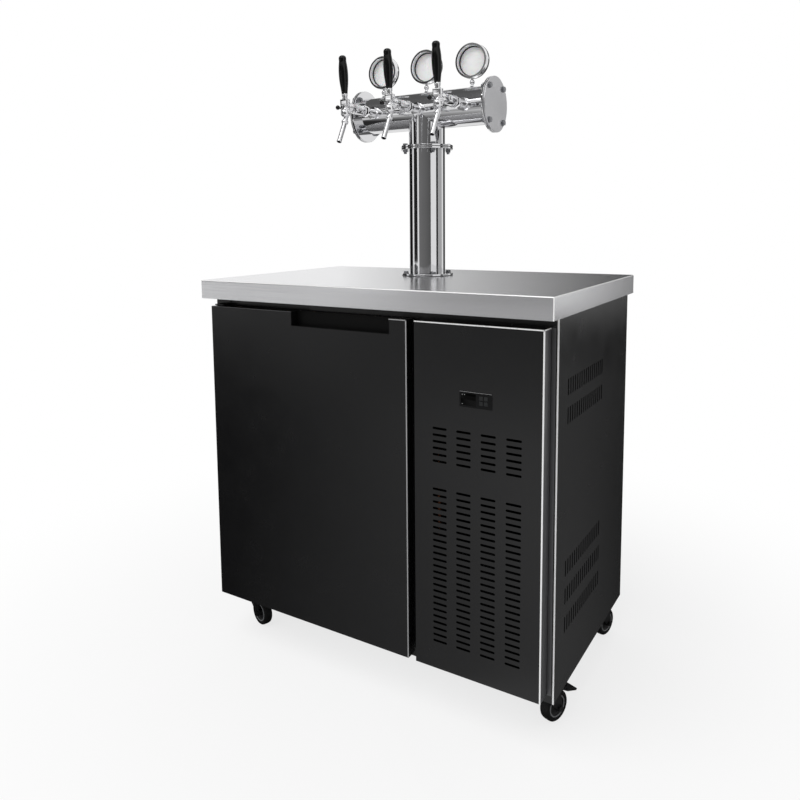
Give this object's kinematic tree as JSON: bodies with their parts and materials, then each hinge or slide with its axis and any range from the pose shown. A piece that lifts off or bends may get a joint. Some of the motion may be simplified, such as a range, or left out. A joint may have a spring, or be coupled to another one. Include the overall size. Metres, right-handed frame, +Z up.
{
  "type": "keg cooler with beer tower",
  "caption": "Under-counter keg cooler on casters with a hinged door, a louvred cooling bay, a steel worktop and a tee-shaped polished beer tower with lever taps.",
  "frame": {"origin": "on the floor, under the centre of the worktop", "axes": "+Z up, -Y the front with the door and taps, +X to the viewer's right when facing the front"},
  "size_m": [1, 0.65, 1.65],
  "materials": {
    "brushed_worktop": "brushed, along the width",
    "worktop_board": "raw particle board",
    "black_sheet": "black powder coat, satin",
    "zinc_sheet": "galvanised",
    "foam": "rigid foam",
    "liner_sheet": "satin stainless",
    "seal_rubber": "matte",
    "moulded_black": "fine grain",
    "controller_black": "gloss",
    "key_grey": "fine grain",
    "compressor_black": "black enamel",
    "fin_aluminium": "bare fins",
    "motor_grey": "satin",
    "evaporator_white": "white enamel",
    "copper_pipe": "drawn copper",
    "caster_steel": "black zinc",
    "caster_tyre": "matte",
    "tower_polish": "mirror polish",
    "end_plate_satin": "satin",
    "fastener_steel": "bright bolts",
    "beer_tube": "clear tube",
    "grip_black": "polished",
    "flow_steel": "polished"
  },
  "bodies": {
    "cabinet": {"base_tray": "zinc_sheet", "outer_wrapper": "black_sheet", "right_side_panel": "black_sheet", "rear_grille_panel": "black_sheet", "front_frame": "black_sheet", "insulation_foam": "foam", "inner_liner": "liner_sheet", "worktop": "brushed_worktop", "worktop_core": "worktop_board", "front_grille_panel": "black_sheet", "hinge_brackets": "black_sheet", "controller_housing": "controller_black", "compressor": "compressor_black", "condenser_coil": "fin_aluminium", "fan_shroud": "zinc_sheet", "condenser_fan_motor": "motor_grey", "evaporator_coil": "fin_aluminium", "evaporator_cover": "evaporator_white", "evaporator_fan_motor": "motor_grey", "refrigerant_lines": "copper_pipe", "cord_gland": "moulded_black", "caster_plates": "zinc_sheet", "tower_column": "tower_polish", "tower_head": "tower_polish", "tower_end_plates": "end_plate_satin", "tower_gaskets": "seal_rubber", "tower_fasteners": "fastener_steel", "beer_lines": "beer_tube", "line_unions": "fastener_steel", "faucet_shanks": "tower_polish", "faucet_bodies": "tower_polish", "medallions": "tower_polish"},
    "door": {"door_skin": "black_sheet", "door_foam": "foam", "door_liner": "liner_sheet", "door_gasket": "seal_rubber", "handle_pocket": "moulded_black", "hinge_bushes": "moulded_black"},
    "tap_lever_left": {"tap_handle_left": "grip_black"},
    "tap_lever_middle": {"tap_handle_middle": "grip_black"},
    "tap_lever_right": {"tap_handle_right": "grip_black"},
    "flow_control_left": {"flow_lever_left": "flow_steel"},
    "flow_control_middle": {"flow_lever_middle": "flow_steel"},
    "flow_control_right": {"flow_lever_right": "flow_steel"},
    "caster_front_right": {"caster_fork_front_right": "caster_steel"},
    "wheel_front_right": {"caster_wheel_front_right": "caster_tyre"},
    "brake_front_right": {"caster_brake_front_right": "caster_steel"},
    "caster_front_left": {"caster_fork_front_left": "caster_steel"},
    "wheel_front_left": {"caster_wheel_front_left": "caster_tyre"},
    "caster_back_right": {"caster_fork_back_right": "caster_steel"},
    "wheel_back_right": {"caster_wheel_back_right": "caster_tyre"},
    "caster_back_left": {"caster_fork_back_left": "caster_steel"},
    "wheel_back_left": {"caster_wheel_back_left": "caster_tyre"},
    "brake_back_left": {"caster_brake_back_left": "caster_steel"},
    "key_1": {"controller_key_1": "key_grey"},
    "key_2": {"controller_key_2": "key_grey"},
    "key_3": {"controller_key_3": "key_grey"},
    "key_4": {"controller_key_4": "key_grey"},
    "condenser_fan": {"condenser_fan_blade": "moulded_black"},
    "evaporator_fan": {"evaporator_fan_blade": "moulded_black"}
  },
  "joints": [
    {"name": "door_hinge", "type": "hinge", "parent": "cabinet", "child": "door", "pos_m": [-0.4625, -0.293, 0.54075], "axis": [0, 0, -1], "range_deg": [0, 110]},
    {"name": "tap_left", "type": "hinge", "parent": "cabinet", "child": "tap_lever_left", "pos_m": [-0.16, -0.106, 1.4905], "axis": [1, 0, 0], "range_deg": [0, 40]},
    {"name": "tap_middle", "type": "hinge", "parent": "cabinet", "child": "tap_lever_middle", "pos_m": [-0.02, -0.106, 1.4905], "axis": [1, 0, 0], "range_deg": [0, 40]},
    {"name": "tap_right", "type": "hinge", "parent": "cabinet", "child": "tap_lever_right", "pos_m": [0.12, -0.106, 1.4905], "axis": [1, 0, 0], "range_deg": [0, 40]},
    {"name": "flow_left", "type": "hinge", "parent": "cabinet", "child": "flow_control_left", "pos_m": [-0.1773, -0.075, 1.4845], "axis": [-1, 0, 0], "range_deg": [0, 90]},
    {"name": "flow_middle", "type": "hinge", "parent": "cabinet", "child": "flow_control_middle", "pos_m": [-0.0373, -0.075, 1.4845], "axis": [-1, 0, 0], "range_deg": [0, 90]},
    {"name": "flow_right", "type": "hinge", "parent": "cabinet", "child": "flow_control_right", "pos_m": [0.1027, -0.075, 1.4845], "axis": [-1, 0, 0], "range_deg": [0, 90]},
    {"name": "swivel_front_right", "type": "hinge", "parent": "cabinet", "child": "caster_front_right", "pos_m": [0.447, -0.2, 0.1062], "axis": [0, 0, 1], "continuous": true},
    {"name": "roll_front_right", "type": "hinge", "parent": "caster_front_right", "child": "wheel_front_right", "pos_m": [0.45829, -0.16899, 0.0375], "axis": [-0.9397, 0.342, 0], "continuous": true},
    {"name": "pedal_front_right", "type": "hinge", "parent": "caster_front_right", "child": "brake_front_right", "pos_m": [0.45589, -0.17557, 0.0897], "axis": [0.9397, -0.342, 0], "range_deg": [0, 15]},
    {"name": "swivel_front_left", "type": "hinge", "parent": "cabinet", "child": "caster_front_left", "pos_m": [-0.447, -0.2, 0.1062], "axis": [0, 0, 1], "continuous": true},
    {"name": "roll_front_left", "type": "hinge", "parent": "caster_front_left", "child": "wheel_front_left", "pos_m": [-0.41544, -0.20965, 0.0375], "axis": [0.2924, 0.9563, 0], "continuous": true},
    {"name": "swivel_back_right", "type": "hinge", "parent": "cabinet", "child": "caster_back_right", "pos_m": [0.447, 0.225, 0.1062], "axis": [0, 0, 1], "continuous": true},
    {"name": "roll_back_right", "type": "hinge", "parent": "caster_back_right", "child": "wheel_back_right", "pos_m": [0.45554, 0.25688, 0.0375], "axis": [-0.9659, 0.2588, 0], "continuous": true},
    {"name": "swivel_back_left", "type": "hinge", "parent": "cabinet", "child": "caster_back_left", "pos_m": [-0.447, 0.225, 0.1062], "axis": [0, 0, 1], "continuous": true},
    {"name": "roll_back_left", "type": "hinge", "parent": "caster_back_left", "child": "wheel_back_left", "pos_m": [-0.45273, 0.1925, 0.0375], "axis": [0.9848, -0.1736, 0], "continuous": true},
    {"name": "pedal_back_left", "type": "hinge", "parent": "caster_back_left", "child": "brake_back_left", "pos_m": [-0.45151, 0.19939, 0.0897], "axis": [-0.9848, 0.1736, 0], "range_deg": [0, 15]},
    {"name": "press_key_1", "type": "slide", "parent": "cabinet", "child": "key_1", "axis": [0, 1, 0], "range_m": [0, 0.0008], "stiffness_N_per_m": 400},
    {"name": "press_key_2", "type": "slide", "parent": "cabinet", "child": "key_2", "axis": [0, 1, 0], "range_m": [0, 0.0008], "stiffness_N_per_m": 400},
    {"name": "press_key_3", "type": "slide", "parent": "cabinet", "child": "key_3", "axis": [0, 1, 0], "range_m": [0, 0.0008], "stiffness_N_per_m": 400},
    {"name": "press_key_4", "type": "slide", "parent": "cabinet", "child": "key_4", "axis": [0, 1, 0], "range_m": [0, 0.0008], "stiffness_N_per_m": 400},
    {"name": "condenser_fan_spin", "type": "hinge", "parent": "cabinet", "child": "condenser_fan", "pos_m": [0.32525, -0.1555, 0.262], "axis": [0, 1, 0], "continuous": true},
    {"name": "evaporator_fan_spin", "type": "hinge", "parent": "cabinet", "child": "evaporator_fan", "pos_m": [-0.162, 0.16397, 0.701], "axis": [0, 1, 0], "continuous": true}
  ]
}
